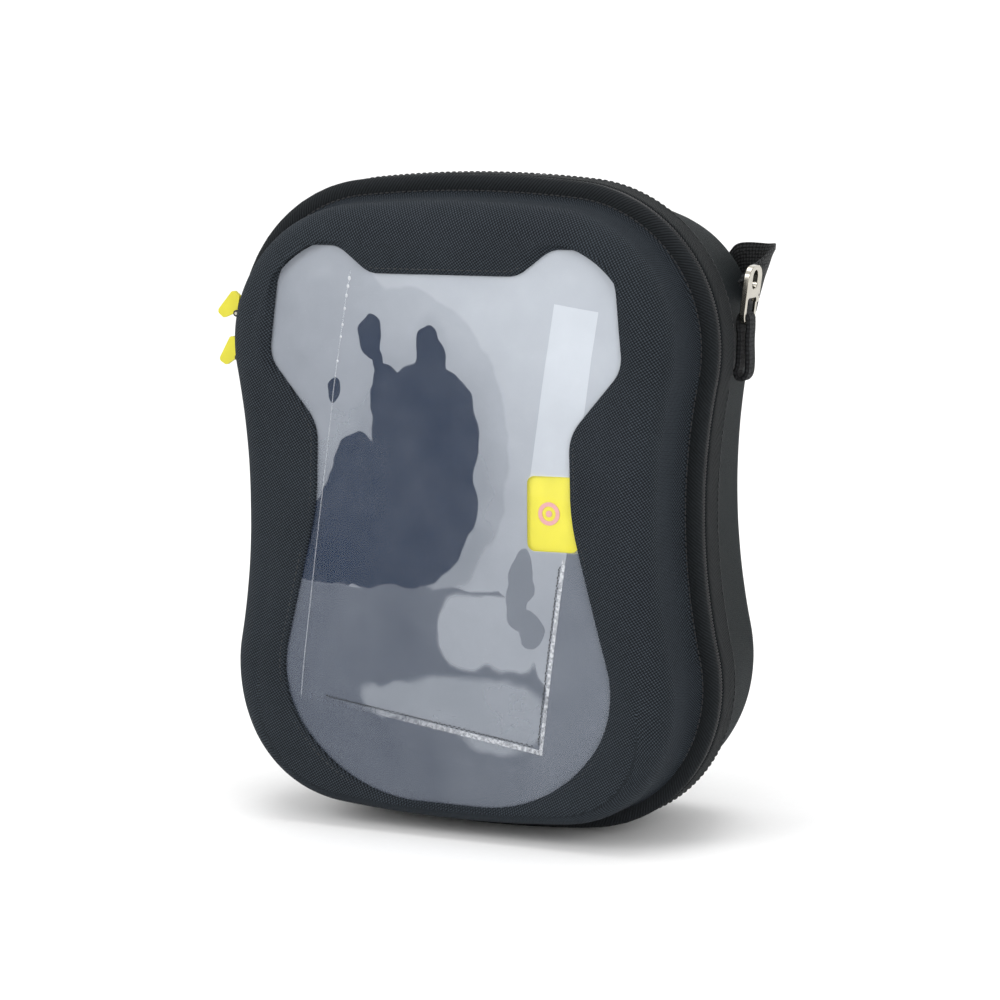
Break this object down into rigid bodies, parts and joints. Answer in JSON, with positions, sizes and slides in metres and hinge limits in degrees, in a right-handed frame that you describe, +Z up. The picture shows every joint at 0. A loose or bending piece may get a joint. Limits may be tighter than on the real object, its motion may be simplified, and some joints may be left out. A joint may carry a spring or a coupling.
{
  "type": "zip carry case",
  "caption": "Moulded two-shell zip case with a waisted outline, a large clear window over a document pocket, twin zip pulls, side hooks and a shoulder strap.",
  "frame": {"origin": "middle of the bottom edge, in the plane where the two shells meet", "axes": "+X right, -Y towards the window side, +Z up along the case's height"},
  "size_m": [0.2833, 0.1383, 0.325],
  "materials": {
    "front_cloth": "coarse plain-woven nylon over moulded foam, matte with a slight blue sheen",
    "rear_cloth": "finer woven nylon over moulded foam, matte",
    "lining": "smooth knitted lining",
    "binding_tape": "herringbone twill tape",
    "zip_tape": "woven zip tape",
    "zip_coil": "nylon coil",
    "dark_metal": "black enamelled metal",
    "chrome": "polished plating",
    "webbing": "coarse basket-woven webbing",
    "black_plastic": "moulded plastic, fine texture",
    "clear_film": "soft clear film, wavy and lightly scratched",
    "pocket_film": "soft clear film, two layers",
    "pocket_edging": "welded film edge",
    "yellow_tab": "soft moulded sheet, satin",
    "pink_print": "flat print"
  },
  "bodies": {
    "rear_half": {"rear_shell": "rear_cloth", "rear_lining": "lining", "rear_binding": "binding_tape", "zip_coil_rear": "zip_coil", "zip_tape_rear": "zip_tape", "zip_end_stops": "dark_metal", "hinge_strip": "binding_tape", "side_tab_right": "webbing", "side_tab_left": "webbing", "hook_right": "chrome", "hook_left": "chrome", "gate_pin_right": "dark_metal", "gate_pin_left": "dark_metal", "shoulder_strap": "webbing"},
    "front_half": {"front_shell": "front_cloth", "front_lining": "lining", "front_binding": "binding_tape", "zip_coil_front": "zip_coil", "zip_tape_front": "zip_tape", "window_film": "clear_film", "document_pocket": "pocket_film", "pocket_edge": "pocket_edging", "window_tab": "yellow_tab", "tab_mark": "pink_print"},
    "upper_slider": {"slider_upper": "dark_metal", "slider_upper_pin": "chrome"},
    "upper_tab": {"slider_upper_tab": "yellow_tab"},
    "lower_slider": {"slider_lower": "dark_metal", "slider_lower_pin": "chrome"},
    "lower_tab": {"slider_lower_tab": "yellow_tab"},
    "gate_right": {"hook_gate_right": "chrome"},
    "gate_left": {"hook_gate_left": "chrome"},
    "adjuster": {"strap_adjuster": "black_plastic"}
  },
  "joints": [
    {"name": "lid_hinge", "type": "hinge", "parent": "rear_half", "child": "front_half", "pos_m": [0, 0, 0], "axis": [1, 0, 0], "range_deg": [0, 110]},
    {"name": "upper_slider_travel", "type": "hinge", "parent": "rear_half", "child": "upper_slider", "pos_m": [-0.0515, 0, 0.2429], "axis": [0, -1, 0], "range_deg": [-75, 0]},
    {"name": "lower_slider_travel", "type": "hinge", "parent": "rear_half", "child": "lower_slider", "pos_m": [-0.43675, 0, 0.16057], "axis": [0, -1, 0], "range_deg": [-20, 0]},
    {"name": "upper_tab_swing", "type": "hinge", "parent": "upper_slider", "child": "upper_tab", "pos_m": [-0.13421, 0, 0.25276], "axis": [0, -1, 0], "range_deg": [-11, 50]},
    {"name": "lower_tab_swing", "type": "hinge", "parent": "lower_slider", "child": "lower_tab", "pos_m": [-0.13399, 0, 0.23015], "axis": [0, -1, 0], "range_deg": [-3, 70]},
    {"name": "gate_right_swing", "type": "hinge", "parent": "rear_half", "child": "gate_right", "pos_m": [0.13405, 0.0371, 0.26598], "axis": [0.9903, 0, -0.1392], "range_deg": [-14, 0], "stiffness_Nm_per_rad": 0.01, "springref_deg": 17.19},
    {"name": "gate_left_swing", "type": "hinge", "parent": "rear_half", "child": "gate_left", "pos_m": [-0.13405, 0.0371, 0.26598], "axis": [0.9903, 0, 0.1392], "range_deg": [-14, 0], "stiffness_Nm_per_rad": 0.01, "springref_deg": 17.19},
    {"name": "adjuster_slide", "type": "slide", "parent": "rear_half", "child": "adjuster", "axis": [-0.3373, 0.0157, -0.9413], "range_m": [-0.012, 0.012]}
  ]
}
